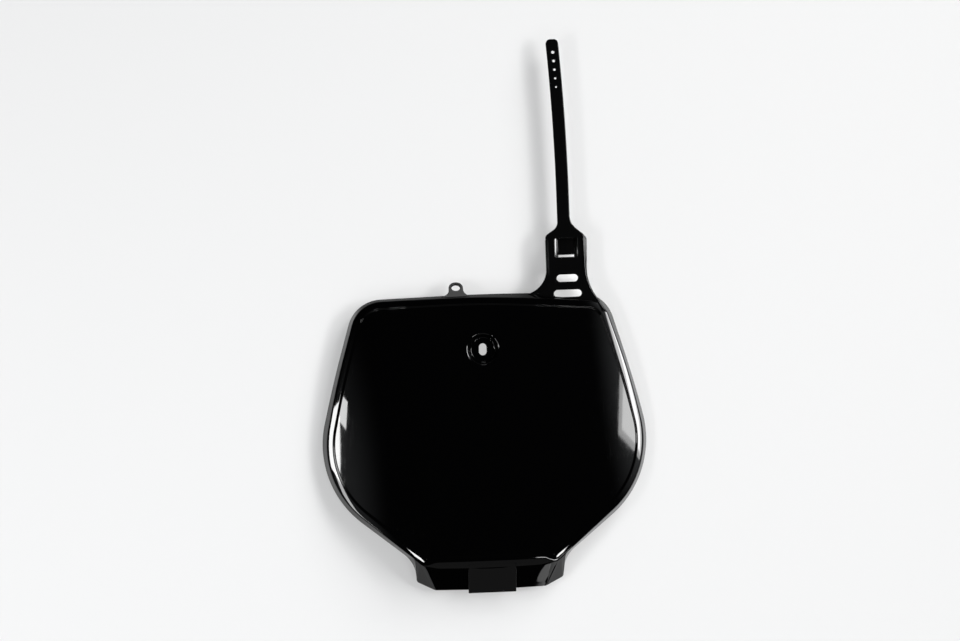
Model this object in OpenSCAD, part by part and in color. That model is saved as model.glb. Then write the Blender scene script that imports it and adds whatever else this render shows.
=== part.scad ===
// Racing number board: a bowed plastic plate moulded in one piece with its
// rim, flared skirt, foot, fixing dish, hanging lug, neck and strap.
// X runs across the board, Z up the board, and the face looks towards -Y.
// The origin is the middle of the fixing slot, on the back of its dish.

/* [Board] */
// Width over the skirt at its widest
board_w = 252.6; // [240:0.2:262]
// Height from the crown of the top edge to the lower edge of the foot
board_h = 229.1; // [218:0.1:240]
// Height of the fixing slot below the crown of the top edge
fix_drop = 42.9; // [38:0.1:48]
// Width between the two top corners, before they are rounded
top_w = 194.4; // [180:0.2:202]
// Fall of the top edge from the crown to the corners
crown_fall = 2; // [0:0.1:5]
// Radius of the top corners
top_r = 27; // [20:1:32]
// Radius of the wide rounded sides
side_r = 76; // [68:1:84]
// Height of the widest place below the crown
wide_drop = 114.9; // [108:0.1:120]
// Lean of the side edges away from upright, in degrees
side_lean = 14; // [11:0.5:15]
// Lean of the lower slanting edges away from upright, in degrees
jaw_lean = 51.2; // [49:0.2:54]
// How far the sides lie behind the middle of the face
face_sag = 18; // [10:1:26]
// How sharply the face rolls back at the sides
roll_off = 2.5; // [2:0.1:3.2]
// How far the top and bottom lie behind the middle of the face
face_rise = 4; // [1:0.5:8]
// Thickness of the moulded wall
wall = 2.5; // [2:0.1:3]

/* [Rim and skirt] */
// Width of the raised rim
rim_w = 5.6; // [4.5:0.1:7]
// Height of the rim above the face
rim_step = 0.8; // [0.4:0.1:1.4]
// Radius of the rim's outer edge
edge_r = 1.7; // [1:0.1:2.2]
// Depth of the skirt behind the rim, at the top and sides
skirt_d = 10; // [8:0.5:14]
// Flare of the skirt along the top
top_flare = 1.8; // [1:0.1:2.4]
// Flare of the skirt at the sides
skirt_flare = 3.2; // [2.4:0.1:4]
// Flare of the skirt along the lower slanting edges
jaw_flare = 4.8; // [3.6:0.1:5.6]

/* [Foot] */
// Height of the foot that bends back below the rim
foot_h = 20.7; // [16:0.1:24]
// Width of the foot where it leaves the rim
foot_top_w = 103; // [96:1:108]
// Width over the ears of the foot
ear_w = 114.4; // [110:0.2:118]
// Height of the ears' lower corners above the foot's edge
ear_drop = 7.8; // [6:0.2:9]
// Width of the foot's lower edge
toe_w = 86; // [80:1:92]
// Depth of the foot behind the rim
foot_d = 16; // [13:0.5:20]
// Width of the tab in the middle of the foot
tab_w = 37; // [30:1:44]
// Distance of the tab's middle from the middle of the board
tab_x = 1.2; // [0:0.1:4]
// How far the tab reaches below the foot's edge
tab_drop = 2.4; // [1:0.1:4]
// How far the tab stands out of the foot
tab_out = 2.2; // [1:0.1:3]

/* [Fixing dish] */
// Diameter of the dish at the face
dish_d = 23.4; // [20:0.2:28]
// Diameter of the dish's flat floor
dish_floor_d = 16.6; // [14:0.2:18]
// Depth of the dish below the face
dish_depth = 4; // [3:0.1:5]
// Thickness of the dish's floor
dish_floor_t = 3; // [2.5:0.1:4]
// Width of the fixing slot
fix_slot_w = 5.8; // [5:0.1:6.6]
// Length of the fixing slot
fix_slot_l = 9.2; // [8:0.1:11]

/* [Neck] */
// Distance of the neck's middle from the middle of the board
neck_x = 67.8; // [64:0.2:72]
// Width of the neck
neck_w = 30.2; // [28:0.2:34]
// Height of the neck's shoulders above the crown of the top edge
neck_h = 43.1; // [38:0.1:50]
// How far the neck's front lies behind the rim
neck_set = 3.6; // [3:0.1:5]
// Depth of the neck's side walls behind its front
neck_d = 6; // [4:0.1:8]
// Flare of the neck's outer side wall
neck_flare = 2.2; // [0:0.1:3]
// How far the rim dips below the neck
neck_dip = 5; // [4:0.2:6]
// Radius of the neck's inner foot
neck_inner_r = 20; // [12:1:24]
// Radius of the neck's outer foot
neck_outer_r = 45; // [35:1:55]
// Length of the upper strap slot
upper_slot_l = 16.5; // [14:0.5:20]
// Length of the lower strap slot
lower_slot_l = 21.5; // [18:0.5:23]
// Width of both strap slots
strap_slot_w = 5.6; // [5:0.1:7]
// Height of the lower slot's middle below the crown of the top edge
lower_slot_drop = 2; // [0:0.1:3]
// Distance between the middles of the two slots
slot_pitch = 11.8; // [10:0.1:14]
// Width of the keeper's window
keeper_w = 17.4; // [15:0.2:19]
// Height of the keeper's window
keeper_h = 14.6; // [12:0.2:16]
// Height of the slit left open under the keeper's bar
keeper_slit = 1.8; // [1:0.1:3]
// Width of the keeper's bar
keeper_bar_w = 13.4; // [11:0.1:14]
// How far the keeper's bar is set back behind the neck's front
keeper_set = 3; // [2:0.1:4]

/* [Strap] */
// Length of the strap above the neck's shoulders
strap_l = 152; // [130:1:180]
// Width of the strap
strap_w = 9.8; // [8:0.1:11]
// Thickness of the strap
strap_t = 2.5; // [2:0.1:3]
// Radius of the strap's long gentle bend
strap_bend_r = 1720; // [1200:10:3000]
// Length of straight strap before the bend
strap_straight = 31; // [20:1:50]
// Number of peg holes
peg_n = 5; // [3:1:7]
// Diameter of the peg hole nearest the tip
peg_d = 2.3; // [2.2:0.1:3.4]
// How much smaller each next peg hole is
peg_less = 0.25; // [0:0.05:0.3]
// Distance between peg holes
peg_pitch = 6.75; // [5:0.05:8]
// Distance of the first peg hole from the tip
peg_end = 10.2; // [8:0.1:16]

/* [Hanging lug] */
// Distance of the lug's middle from the middle of the board
lug_x = -18.8; // [-30:0.1:-10]
// Width of the lug
lug_w = 11; // [9.6:0.1:12]
// Diameter of the lug's hole
lug_hole_d = 6.8; // [5.5:0.1:7]
// Thickness of the lug
lug_t = 2.2; // [1.8:0.1:3]
// Lean of the lug away from upright, in degrees
lug_lean = 40; // [25:1:50]
// Length of the lug from the top edge to its hole, along its slope
lug_l = 8.8; // [6:0.1:10]

/* [Hidden] */
// How finely round stretches and straight stretches are divided
arc_steps = 6;
line_steps = 4;
$fn = 64;
// Overlap that makes two features one solid
join = 0.6;
half_w = board_w / 2;
crown_z = fix_drop;
foot_z = crown_z - board_h;
face_y = -(dish_depth + dish_floor_t);
middle_z = (crown_z + foot_z) / 2;
top_z = crown_z - crown_fall;
rim_foot_z = foot_z + foot_h;

// Where the three edges beside the wide round side would meet
wide_z = crown_z - wide_drop;
wide_reach = side_r / cos((side_lean + jaw_lean) / 2);
wide_turn = (jaw_lean - side_lean) / 2;
wide_corner = [half_w - side_r + wide_reach * cos(wide_turn), wide_z - wide_reach * sin(wide_turn)];
// The side edge bulges a little: its middle corner lies this far up it
side_mid_l = 0.36 * board_h;
side_mid = wide_corner + side_mid_l * [-sin(side_lean), cos(side_lean)];
side_mid_reach = 22;
ear_x = ear_w / 2;
ear_top_z = wide_corner[1] - (wide_corner[0] - ear_x) / tan(jaw_lean);
ear_top_r = 24;
ear_r = 3;
// The foot's lower edge is a little higher at its ends
toe_rise = 0.7;
toe_r = 2;
// Depth of the skirt behind the rim at the wide place, the ear's top and the middle of the foot
wide_d = skirt_d + 1;
ear_top_d = foot_d - 2;
foot_mid_d = foot_d - 1;
// Every corner is rounded over at least this length
least = 1.2;
// The rim eases out of the foot into the slanting edge over this length
ease_l = 10;
toe_ease_r = 5;
// The rim's top corner is rounded more tightly where it dips below the neck
neck_top_r = top_r - 10;

// Outlines run from the crown round one side to the middle of the foot.
// Each corner holds x, z, its radius, how far its round stretch reaches at least,
// and the skirt's depth behind the rim.
skirt_corners = [
    [0, crown_z, 0, 0, skirt_d],
    [top_w / 2, top_z, top_r, least, skirt_d],
    [side_mid[0], side_mid[1], 0, side_mid_reach, skirt_d],
    [wide_corner[0], wide_corner[1], side_r, least, wide_d],
    [ear_x, ear_top_z, ear_top_r, least, ear_top_d],
    [ear_x, foot_z + ear_drop, ear_r, least, foot_d],
    [toe_w / 2, foot_z + toe_rise, toe_r, least, foot_d],
    [0, foot_z, 0, 0, foot_mid_d]
];
// The same corners where the rim turns into the skirt
rim_toe = [foot_top_w / 2, rim_foot_z];
rim_jaw = unit(moved_in(skirt_corners, 3, jaw_flare) - rim_toe);
function rim_corners(top, top_radius) = [
    [0, crown_z - top_flare],
    [top[0], top[1], top_radius, least],
    concat(moved_in(skirt_corners, 2, skirt_flare), 0, side_mid_reach),
    concat(moved_in(skirt_corners, 3, jaw_flare), side_r - jaw_flare, least),
    concat(rim_toe + ease_l * rim_jaw, 0, least),
    concat(rim_toe + ease_l / 2 * rim_jaw, 0, least),
    concat(rim_toe, toe_ease_r, least),
    [0, rim_foot_z]
];
// The rim dips at the corner that carries the neck, to clear the lower slot
plain_top = moved_in(skirt_corners, 1, skirt_flare)
    + (skirt_flare - top_flare) * unit(xz(skirt_corners[1]) - xz(skirt_corners[2]));
neck_top = plain_top - [0, neck_dip];

// Vectors in the plane of the outline
function unit(v) = v / norm(v);
function inward(v) = [v[1], -v[0]];
function xz(p) = [p[0], p[1]];

// Corner i moved inwards by a distance from both of its edges
function moved_in(c, i, distance) =
    let (a = inward(unit(xz(c[i]) - xz(c[i - 1]))), b = inward(unit(xz(c[i + 1]) - xz(c[i]))))
    xz(c[i]) + distance * (a + b) / (1 + a * b);

// A round stretch of radius r through corner p, as a true arc
function rounded(before, p, after, r, least_reach = 0) =
    let (
        a = unit(p - before),
        b = unit(after - p),
        half_turn = acos(min(1, a * b)) / 2,
        reach = max(r * tan(half_turn), least_reach),
        weight = cos(half_turn),
        start = p - reach * a,
        end = p + reach * b
    )
    [for (k = [0 : arc_steps]) let (f = k / arc_steps, g = 1 - f)
        (g * g * start + 2 * f * g * weight * p + f * f * end) / (g * g + 2 * f * g * weight + f * f)];

function between(p, q) = [for (k = [1 : line_steps - 1]) p + (q - p) * k / line_steps];

// Half an outline with its corners rounded and its straight stretches divided
function half_outline(c) =
    let (
        last = len(c) - 1,
        arcs = concat(
            [[xz(c[0])]],
            [for (i = [1 : last - 1])
                rounded(xz(c[i - 1]), xz(c[i]), xz(c[i + 1]), c[i][2], c[i][3])],
            [[xz(c[last])]]
        )
    )
    [for (i = [0 : last])
        each concat(arcs[i], i < last ? between(arcs[i][len(arcs[i]) - 1], arcs[i + 1][0]) : [])];

// Depth of the skirt at each point of half an outline
function half_depth(c) =
    let (last = len(c) - 1)
    [for (i = [0 : last]) each concat(
        [for (k = [0 : (i == 0 || i == last) ? 0 : arc_steps]) c[i][4]],
        [for (k = [1 : 1 : i < last ? line_steps - 1 : 0])
            c[i][4] + (c[i + 1][4] - c[i][4]) * k / line_steps]
    )];

// A closed ring from the half on the neck's side and the half across from it
function mirror_x(half) = [for (p = half) [-p[0], p[1]]];
function backwards(half) = [for (i = [len(half) - 2 : -1 : 1]) half[i]];
function outline(c, across) = concat(half_outline(c), backwards(mirror_x(half_outline(across))));

// The outline moved inwards all round by one distance
function inset(ring, distance) =
    let (n = len(ring))
    [for (i = [0 : n - 1])
        ring[i] + distance * inward(unit(ring[(i + 1) % n] - ring[(i + n - 1) % n]))];

// The bowed face: how far back it lies at a point
function upright_bow(z) = face_rise * pow((z - middle_z) / (board_h / 2), 2);
function face_at(p) =
    face_y + face_sag * pow(abs(p[0]) / half_w, roll_off) + upright_bow(p[1]) - upright_bow(0);

// Rings of the plate: the skirt's back edge, the rim's outer edge and the face's edge
skirt_ring = outline(skirt_corners, skirt_corners);
rim_ring = outline(rim_corners(neck_top, neck_top_r), rim_corners(plain_top, top_r - skirt_flare));
face_ring = inset(rim_ring, rim_w);
skirt_depth = concat(half_depth(skirt_corners), backwards(half_depth(skirt_corners)));
ring_n = len(rim_ring);
middle = [0, middle_z];

function mix(a, b, f) = [for (i = [0 : ring_n - 1]) a[i] + (b[i] - a[i]) * f];
function shrunk(ring, f) = [for (p = ring) middle + (p - middle) * f];
function bowed(ring, back) = [for (p = ring) [p[0], face_at(p) + back, p[1]]];
function lip_at(i) = face_at(rim_ring[i]) - rim_step;

// Shares of the rim that its rounded edge and its step down to the face take up
edge_share = edge_r / rim_w;
step_share = 0.16;
// Where the rings lie: over the face, round the rim's edge, and down the skirt
face_rings = [0.25, 0.5, 0.72, 0.88, 1];
edge_turns = [0, 30, 60, 90];
skirt_parts = [0.4, 0.7, 1];
inner_parts = [1, 0.7, 0.4, 0];

front_rings = concat(
    [for (f = face_rings) bowed(shrunk(face_ring, f), 0)],
    [bowed(mix(face_ring, rim_ring, step_share), -rim_step)],
    [for (a = edge_turns) bowed(mix(face_ring, rim_ring, 1 - edge_share * (1 - sin(a))),
        edge_r * (1 - cos(a)) - rim_step)],
    [for (f = skirt_parts) let (flat = mix(rim_ring, skirt_ring, f))
        [for (i = [0 : ring_n - 1])
            [flat[i][0], lip_at(i) + edge_r + (skirt_depth[i] - edge_r) * f, flat[i][1]]]]
);
skirt_inner = inset(skirt_ring, wall);
rim_inner = inset(rim_ring, wall);
back_rings = concat(
    [for (f = inner_parts) let (flat = mix(rim_inner, skirt_inner, f))
        [for (i = [0 : ring_n - 1])
            [flat[i][0], lip_at(i) + wall + (skirt_depth[i] - wall) * f, flat[i][1]]]],
    [for (k = [len(face_rings) - 1 : -1 : 0]) bowed(shrunk(face_ring, face_rings[k]), wall)]
);

// A closed skin over a stack of rings, with a point at either end
module skin(rings, first, last) {
    n = len(rings[0]);
    m = len(rings);
    points = concat([first], [for (ring = rings) each ring], [last]);
    faces = concat(
        [for (i = [0 : n - 1]) [0, 1 + i, 1 + (i + 1) % n]],
        [for (r = [0 : m - 2]) for (i = [0 : n - 1])
            let (a = 1 + r * n, j = (i + 1) % n)
            each [[a + i, a + n + i, a + n + j], [a + i, a + n + j, a + j]]],
        [for (i = [0 : n - 1]) let (a = 1 + (m - 1) * n) [a + i, a + n, a + (i + 1) % n]]
    );
    polyhedron(points, faces);
}

module plate() {
    skin(
        concat(front_rings, back_rings),
        [0, face_at(middle), middle_z],
        [0, face_at(middle) + wall, middle_z]
    );
}

// A flat outline lying in the board's plane, raised from y = front to y = back
module upright(front, back) {
    translate([0, back, 0]) rotate([90, 0, 0]) linear_extrude(back - front) children();
}

module obround(l, w) {
    for (side = [-1, 1]) translate([side * (l - w) / 2, 0]) circle(d = w);
    square([l - w, w], center = true);
}

// Fixing dish: a cup that carries the fixing slot
module dish_cup() {
    rotate([90, 0, 0])
        cylinder(d1 = dish_floor_d + 2 * wall, d2 = dish_d + 2 * wall, h = -face_y - wall + join);
}

module dish_hollow() {
    translate([0, -dish_floor_t, 0]) rotate([90, 0, 0])
        cylinder(d1 = dish_floor_d, d2 = dish_d + (dish_d - dish_floor_d) / dish_depth, h = dish_depth + 1);
}

module fixing_slot() {
    upright(face_y, 1) rotate(90) obround(fix_slot_l, fix_slot_w);
}

// Neck and strap
neck_y = face_at([neck_x, crown_z]) - rim_step + neck_set;
// The neck's front lies nearer to the middle than its slots, beside the outer wall's flare
neck_shift = 0.8;
neck_in = neck_x - neck_shift - neck_w / 2;
neck_out = neck_x - neck_shift + neck_w / 2;
shoulder_z = crown_z + neck_h;
root_l = 3;
neck_root_z = neck_top[1] - root_l;
// The strap leaves the neck a little nearer to the middle of the board
strap_in = neck_x - 6.2;
strap_mid = strap_in + strap_w / 2;
tip_z = shoulder_z + strap_l;
bend_z = shoulder_z + strap_straight;
tip_r = 3.6;
function strap_bend(z) = pow(max(0, z - bend_z), 2) / (2 * strap_bend_r);
function strap_edge(side, z) = [strap_mid + side * strap_w / 2 - strap_bend(z), z];
strap_steps = 8;
inner_rise = 6.5;
outer_rise = 8;
inner_shoulder_r = 3.5;
outer_shoulder_r = 1.2;
inner_strap_r = 7;
outer_strap_r = 14;
foot_rise = 6;
foot_out = 0.8;
flare_rise = 9;
function strap_side(side) =
    [for (k = [0 : strap_steps]) strap_edge(side, bend_z + (tip_z - tip_r - bend_z) * k / strap_steps)];

inner_root = [neck_in - neck_inner_r - root_l, top_z];
inner_foot = [neck_in, top_z];
inner_shoulder = [neck_in, shoulder_z];
inner_strap = [strap_in, shoulder_z + inner_rise];
outer_strap = [strap_in + strap_w, shoulder_z + outer_rise];
outer_shoulder = [neck_out, shoulder_z];
outer_foot = [neck_out + foot_out, crown_z + foot_rise];
outer_root = [plain_top[0] + 2, plain_top[1] - top_r / 2];
tip_in = strap_edge(-1, tip_z);
tip_out = strap_edge(1, tip_z);

inner_line = concat(
    rounded(inner_root, inner_foot, inner_shoulder, neck_inner_r),
    rounded(inner_foot, inner_shoulder, inner_strap, inner_shoulder_r),
    rounded(inner_shoulder, inner_strap, strap_edge(-1, bend_z), inner_strap_r)
);
outer_line = concat(
    rounded(strap_edge(1, bend_z), outer_strap, outer_shoulder, outer_strap_r),
    rounded(outer_strap, outer_shoulder, outer_foot, outer_shoulder_r),
    rounded(outer_shoulder, outer_foot, outer_root, neck_outer_r)
);
tip_line = concat(
    rounded(strap_edge(-1, bend_z), tip_in, tip_out, tip_r),
    rounded(tip_in, tip_out, strap_edge(1, bend_z), tip_r)
);
function reversed(list) = [for (i = [len(list) - 1 : -1 : 0]) list[i]];

module neck_outline() {
    polygon(concat(
        [[inner_root[0], neck_root_z]],
        [[inner_root[0], inner_foot[1]]],
        inner_line,
        strap_side(-1),
        tip_line,
        reversed(strap_side(1)),
        outer_line,
        [[neck_out - wall, outer_root[1]]],
        [[neck_out - wall, neck_root_z]]
    ));
}

// A side wall of the neck: it follows a line down the outline and flares as it goes back.
// The flare starts below the line's first point
module flank(line, side, flare) {
    last = len(line) - 1;
    rings = [for (i = [0 : last])
        let (
            out = side * inward(unit(line[max(0, i - 1)] - line[min(last, i + 1)])),
            front = line[i],
            back = front + (i == 0 ? 0 : flare) * out,
            front_in = front - wall * out,
            back_in = back - wall * out,
            ring = [
                [front_in[0], neck_y, front_in[1]],
                [back_in[0], neck_y + neck_d, back_in[1]],
                [back[0], neck_y + neck_d, back[1]],
                [front[0], neck_y, front[1]]
            ]
        )
        side > 0 ? ring : reversed(ring)];
    skin(rings, centre(rings[0]), centre(rings[last]));
}
function centre(ring) = (ring[0] + ring[1] + ring[2] + ring[3]) / 4;

module neck_walls() {
    outer_flank = concat(
        [outer_shoulder - [0, outer_shoulder_r]],
        [outer_shoulder - [0, flare_rise]],
        rounded(outer_shoulder, outer_foot, outer_root, neck_outer_r),
        [outer_root]
    );
    inner_flank = concat(
        rounded(inner_root, inner_foot, inner_shoulder, neck_inner_r),
        [inner_shoulder - [0, inner_shoulder_r]]
    );
    flank(outer_flank, 1, neck_flare);
    flank(reversed(inner_flank), -1, 0);
}

module strap_slots() {
    lower_z = crown_z - lower_slot_drop;
    upright(neck_y - 1, neck_y + strap_t + neck_d) {
        translate([neck_x, lower_z]) obround(lower_slot_l, strap_slot_w);
        translate([neck_x, lower_z + slot_pitch]) obround(upper_slot_l, strap_slot_w);
    }
}

// Keeper: a window with a bar set back behind it
keeper_gap = 2.4;
keeper_z = shoulder_z - keeper_gap - keeper_h / 2;
module keeper_window() {
    upright(neck_y - 1, neck_y + strap_t + 1)
        translate([neck_x, keeper_z]) square([keeper_w, keeper_h], center = true);
}

module keeper_bar() {
    wide = keeper_w / 2;
    bar = keeper_bar_w / 2;
    translate([neck_x, 0, keeper_z - keeper_h / 2]) difference() {
        linear_extrude(keeper_h + join) polygon([
            [-wide - wall, neck_y + strap_t - join],
            [-wide, neck_y],
            [-bar, neck_y + keeper_set],
            [bar, neck_y + keeper_set],
            [wide, neck_y],
            [wide + wall, neck_y + strap_t - join],
            [bar + wall, neck_y + keeper_set + wall],
            [-bar - wall, neck_y + keeper_set + wall]
        ]);
        translate([-bar, neck_y - 1, -1]) cube([keeper_bar_w, keeper_set + wall + 2, keeper_slit + 1]);
    }
    translate([neck_x - bar - join, neck_y + strap_t - join, keeper_z + keeper_h / 2])
        cube([keeper_bar_w + 2 * join, keeper_set + wall - strap_t + join, wall]);
}

module peg_holes() {
    for (k = [0 : peg_n - 1]) {
        z = tip_z - peg_end - k * peg_pitch;
        translate([strap_mid - strap_bend(z), neck_y + strap_t + 1, z]) rotate([90, 0, 0])
            cylinder(d = peg_d - k * peg_less, h = strap_t + 2, $fn = 32);
    }
}

module neck_and_strap() {
    difference() {
        union() {
            upright(neck_y, neck_y + strap_t) neck_outline();
            neck_walls();
        }
        keeper_window();
        peg_holes();
    }
    keeper_bar();
}

// Hanging lug, leaning back from the top of the skirt
lug_edge_z = crown_z - crown_fall * abs(lug_x) / (top_w / 2);
lug_y = face_at([lug_x, lug_edge_z]) - rim_step + skirt_d / 2;
lug_spread = 4.6;
lug_root = 4;
lug_foot_r = 4;
module lug_outline() {
    half = lug_w / 2;
    wide = half + lug_spread;
    foot = [half + join, join];
    right = concat(
        rounded([half, lug_l], foot, [wide, 0], lug_foot_r),
        [[wide, 0]],
        [[wide, -lug_root]]
    );
    polygon(concat(
        reversed(mirror_x(right)),
        [for (a = [180 : -12 : 0]) [half * cos(a), lug_l + half * sin(a)]],
        right
    ));
}

module lug() {
    translate([lug_x, lug_y, lug_edge_z - join]) rotate([90 - lug_lean, 0, 0]) translate([0, 0, -lug_t])
        difference() {
            linear_extrude(lug_t) lug_outline();
            translate([0, lug_l, -1]) cylinder(d = lug_hole_d, h = lug_t + 2);
        }
}

// Tab in the middle of the foot, flush with the rim at its top
foot_y = face_at([0, rim_foot_z]) - rim_step;
module foot_tab() {
    tab_z = foot_z - tab_drop;
    translate([tab_x - tab_w / 2, 0, 0]) rotate([90, 0, 90]) linear_extrude(tab_w) polygon([
        [foot_y + edge_r, rim_foot_z],
        [foot_y + foot_d - tab_out, tab_z],
        [foot_y + foot_d, tab_z],
        [foot_y + foot_d + join, foot_z + join],
        [foot_y + edge_r + wall, rim_foot_z]
    ]);
}

module number_board() {
    color([0.03, 0.03, 0.035]) difference() {
        union() {
            plate();
            dish_cup();
            neck_and_strap();
            lug();
            foot_tab();
        }
        dish_hollow();
        fixing_slot();
        strap_slots();
    }
}

number_board();
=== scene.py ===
# %% [markdown]
# # A racing number board
# The board is one black plastic moulding: a bowed face with a raised rim, a skirt
# behind the rim, a foot, a round dish for the fixing screw, a hanging lug, and a neck
# that carries a long strap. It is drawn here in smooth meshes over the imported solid.

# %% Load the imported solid
import math

import bmesh
import bpy
from mathutils import Matrix, Vector


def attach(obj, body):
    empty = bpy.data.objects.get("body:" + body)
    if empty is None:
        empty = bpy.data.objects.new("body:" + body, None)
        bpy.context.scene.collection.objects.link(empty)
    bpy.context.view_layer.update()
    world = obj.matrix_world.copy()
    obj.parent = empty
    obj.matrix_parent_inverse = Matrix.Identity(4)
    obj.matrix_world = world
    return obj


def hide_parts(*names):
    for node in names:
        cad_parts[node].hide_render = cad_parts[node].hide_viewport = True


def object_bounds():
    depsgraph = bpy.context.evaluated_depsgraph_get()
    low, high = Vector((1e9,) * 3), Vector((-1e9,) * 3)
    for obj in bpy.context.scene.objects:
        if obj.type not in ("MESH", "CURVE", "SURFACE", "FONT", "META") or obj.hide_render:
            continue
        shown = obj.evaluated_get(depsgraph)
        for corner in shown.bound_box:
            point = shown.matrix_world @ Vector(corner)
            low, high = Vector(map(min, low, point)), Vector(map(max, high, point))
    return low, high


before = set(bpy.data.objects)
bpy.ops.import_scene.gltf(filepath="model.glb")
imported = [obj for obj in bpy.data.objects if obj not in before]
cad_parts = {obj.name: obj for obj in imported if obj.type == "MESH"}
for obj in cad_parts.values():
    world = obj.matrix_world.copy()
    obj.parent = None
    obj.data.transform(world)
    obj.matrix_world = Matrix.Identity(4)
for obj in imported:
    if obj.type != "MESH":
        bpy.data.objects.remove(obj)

cad_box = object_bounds()
print("solid's box in metres:", cad_box)

# %% [markdown]
# ## Sizes
# The sizes are those of the solid, in millimetres, because a moulding is easier to
# think about in millimetres. The finished mesh is scaled to metres in one step. X runs
# across the board, Z up it, and the face looks towards -Y. The origin is the middle of
# the fixing slot, on the flat back of its dish.

# %% The board's sizes
MM = 0.001
BOARD_W, BOARD_H = 252.3, 229.1
CROWN_Z, TOP_FALL, TOP_W, TOP_R = 42.9, 2.0, 194.4, 27.0
SIDE_R, WIDE_DROP, SIDE_LEAN, JAW_LEAN = 76.0, 114.9, 14.0, 51.2
FACE_Y, FACE_SAG, ROLL_OFF, FACE_RISE = -7.0, 18.0, 2.5, 4.0
SIDE_L = 0.36 * BOARD_H
WALL, RIM_W, RIM_STEP = 2.5, 6.2, 0.9
SKIRT_D, TOP_FLARE, SKIRT_FLARE, JAW_FLARE = 9.75, 1.8, 2.5, 4.3
FOOT_H, FOOT_TOP_W, FOOT_D = 20.7, 103.0, 16.0
EAR_W, EAR_DROP, TOE_W, TOE_LIFT = 114.4, 7.8, 86.0, 0.7
NECK_X, NECK_DIP = 67.8, 5.0
HALF_W = BOARD_W / 2
FOOT_Z = CROWN_Z - BOARD_H
MIDDLE_Z = (CROWN_Z + FOOT_Z) / 2
TOP_Z = CROWN_Z - TOP_FALL
RIM_FOOT_Z = FOOT_Z + FOOT_H
print("board from Z", FOOT_Z, "to", CROWN_Z)

# %% [markdown]
# ## The bow of the face
# The real face is not flat: it rolls back towards both sides, like part of a barrel,
# and a little towards the top and the foot. One rule gives the depth at any place, so
# the face, the rim and the skirt all follow the same bow.


# %% How far back the face lies
def upright_bow(z):
    return FACE_RISE * ((z - MIDDLE_Z) / (BOARD_H / 2)) ** 2


def face_at(p):
    roll = FACE_SAG * (abs(p.x) / HALF_W) ** ROLL_OFF
    return FACE_Y + roll + upright_bow(p.z) - upright_bow(0)


print("face at the middle", round(face_at(Vector((0, 0, MIDDLE_Z))), 2))

# %% [markdown]
# ## Outlines
# An outline could be a curve object, but every ring of this shell needs the same number
# of points, so that the rings join into clean strips. So each outline is traced with
# the spin operator: a vertex is spun round each corner's centre, which gives true arcs,
# and the straight stretches between the arcs are subdivided.


# %% Helpers for outlines
def inward(way):
    return Vector((way.z, 0.0, -way.x))


def flat(p):
    return Vector((p.x, 0.0, p.z))


def corner(x, z, radius=0.0, reach=1.2, depth=0.0, steps=6, cuts=4):
    """One corner of an outline. The depth is kept as y until the ring is placed."""
    place = Vector((x, depth, z))
    return {"at": place, "radius": radius, "reach": reach, "steps": steps, "cuts": cuts}


LEAST_TURN = 0.002


def trace(corners):
    """The points of a closed outline that runs clockwise, seen from the front."""
    bm = bmesh.new()
    straights = []
    first = last = None
    for i, c in enumerate(corners):
        here = flat(c["at"])
        a = (here - flat(corners[i - 1]["at"])).normalized()
        b = (flat(corners[(i + 1) % len(corners)]["at"]) - here).normalized()
        turn = math.atan2(a.cross(b).y, a.dot(b))
        lift = Vector((0, c["at"].y, 0))
        if abs(turn) < LEAST_TURN:
            start = bm.verts.new(here - c["reach"] * a + lift)
            end = bm.verts.new(here + c["reach"] * b + lift)
            straights.append((bm.edges.new((start, end)), c["steps"] - 1))
        else:
            half = math.tan(abs(turn) / 2)
            radius = max(c["radius"], c["reach"] / half)
            begin = here - radius * half * a
            centre = begin + math.copysign(radius, turn) * inward(a)
            start = bm.verts.new(begin + lift)
            spun = bmesh.ops.spin(bm, geom=[start], cent=centre + lift, axis=(0, 1, 0),
                                  angle=turn, steps=c["steps"])
            end = [g for g in spun["geom_last"] if isinstance(g, bmesh.types.BMVert)][0]
        if last is None:
            first = start
        else:
            straights.append((bm.edges.new((last, start)), corners[i - 1]["cuts"]))
        last = end
    second = [e.other_vert(first) for e in first.link_edges][0]
    ends = first.co.copy(), second.co.copy()
    straights.append((bm.edges.new((last, first)), corners[-1]["cuts"]))
    for edge, cuts in straights:
        if cuts > 0:
            bmesh.ops.subdivide_edges(bm, edges=[edge], cuts=cuts)
    first, now = [min(bm.verts, key=lambda v: (v.co - end).length) for end in ends]
    before, points = first, [first.co.copy()]
    while now is not first:
        points.append(now.co.copy())
        onward = [e.other_vert(now) for e in now.link_edges if e.other_vert(now) is not before]
        before, now = now, onward[0]
    bm.free()
    return points


def mirrored(corners):
    """The same corners across the middle, in the order that keeps the way round."""
    out = []
    for i in range(len(corners) - 1, -1, -1):
        c = dict(corners[i])
        c["at"] = Vector((-c["at"].x, c["at"].y, c["at"].z))
        c["cuts"] = corners[i - 1]["cuts"] if i > 0 else 0
        out.append(c)
    return out


def moved_in(a, p, b, distance):
    """Corner p moved inwards by a distance from both of its edges."""
    u = inward((p - a).normalized())
    v = inward((b - p).normalized())
    return p + distance * (u + v) / (1 + u.dot(v))


def inset(points, distance):
    """The outline moved inwards, all round, by one distance."""
    n = len(points)
    return [points[i] + distance * inward(flat(points[(i + 1) % n] - points[i - 1]).normalized())
            for i in range(n)]


# %% [markdown]
# ## Two outlines of the board
# The skirt's back edge is the outermost line. The rim's outer edge lies a little inside
# it, because the skirt flares as it goes back. Below the neck the rim dips, so that the
# lower strap slot stays open.

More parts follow.
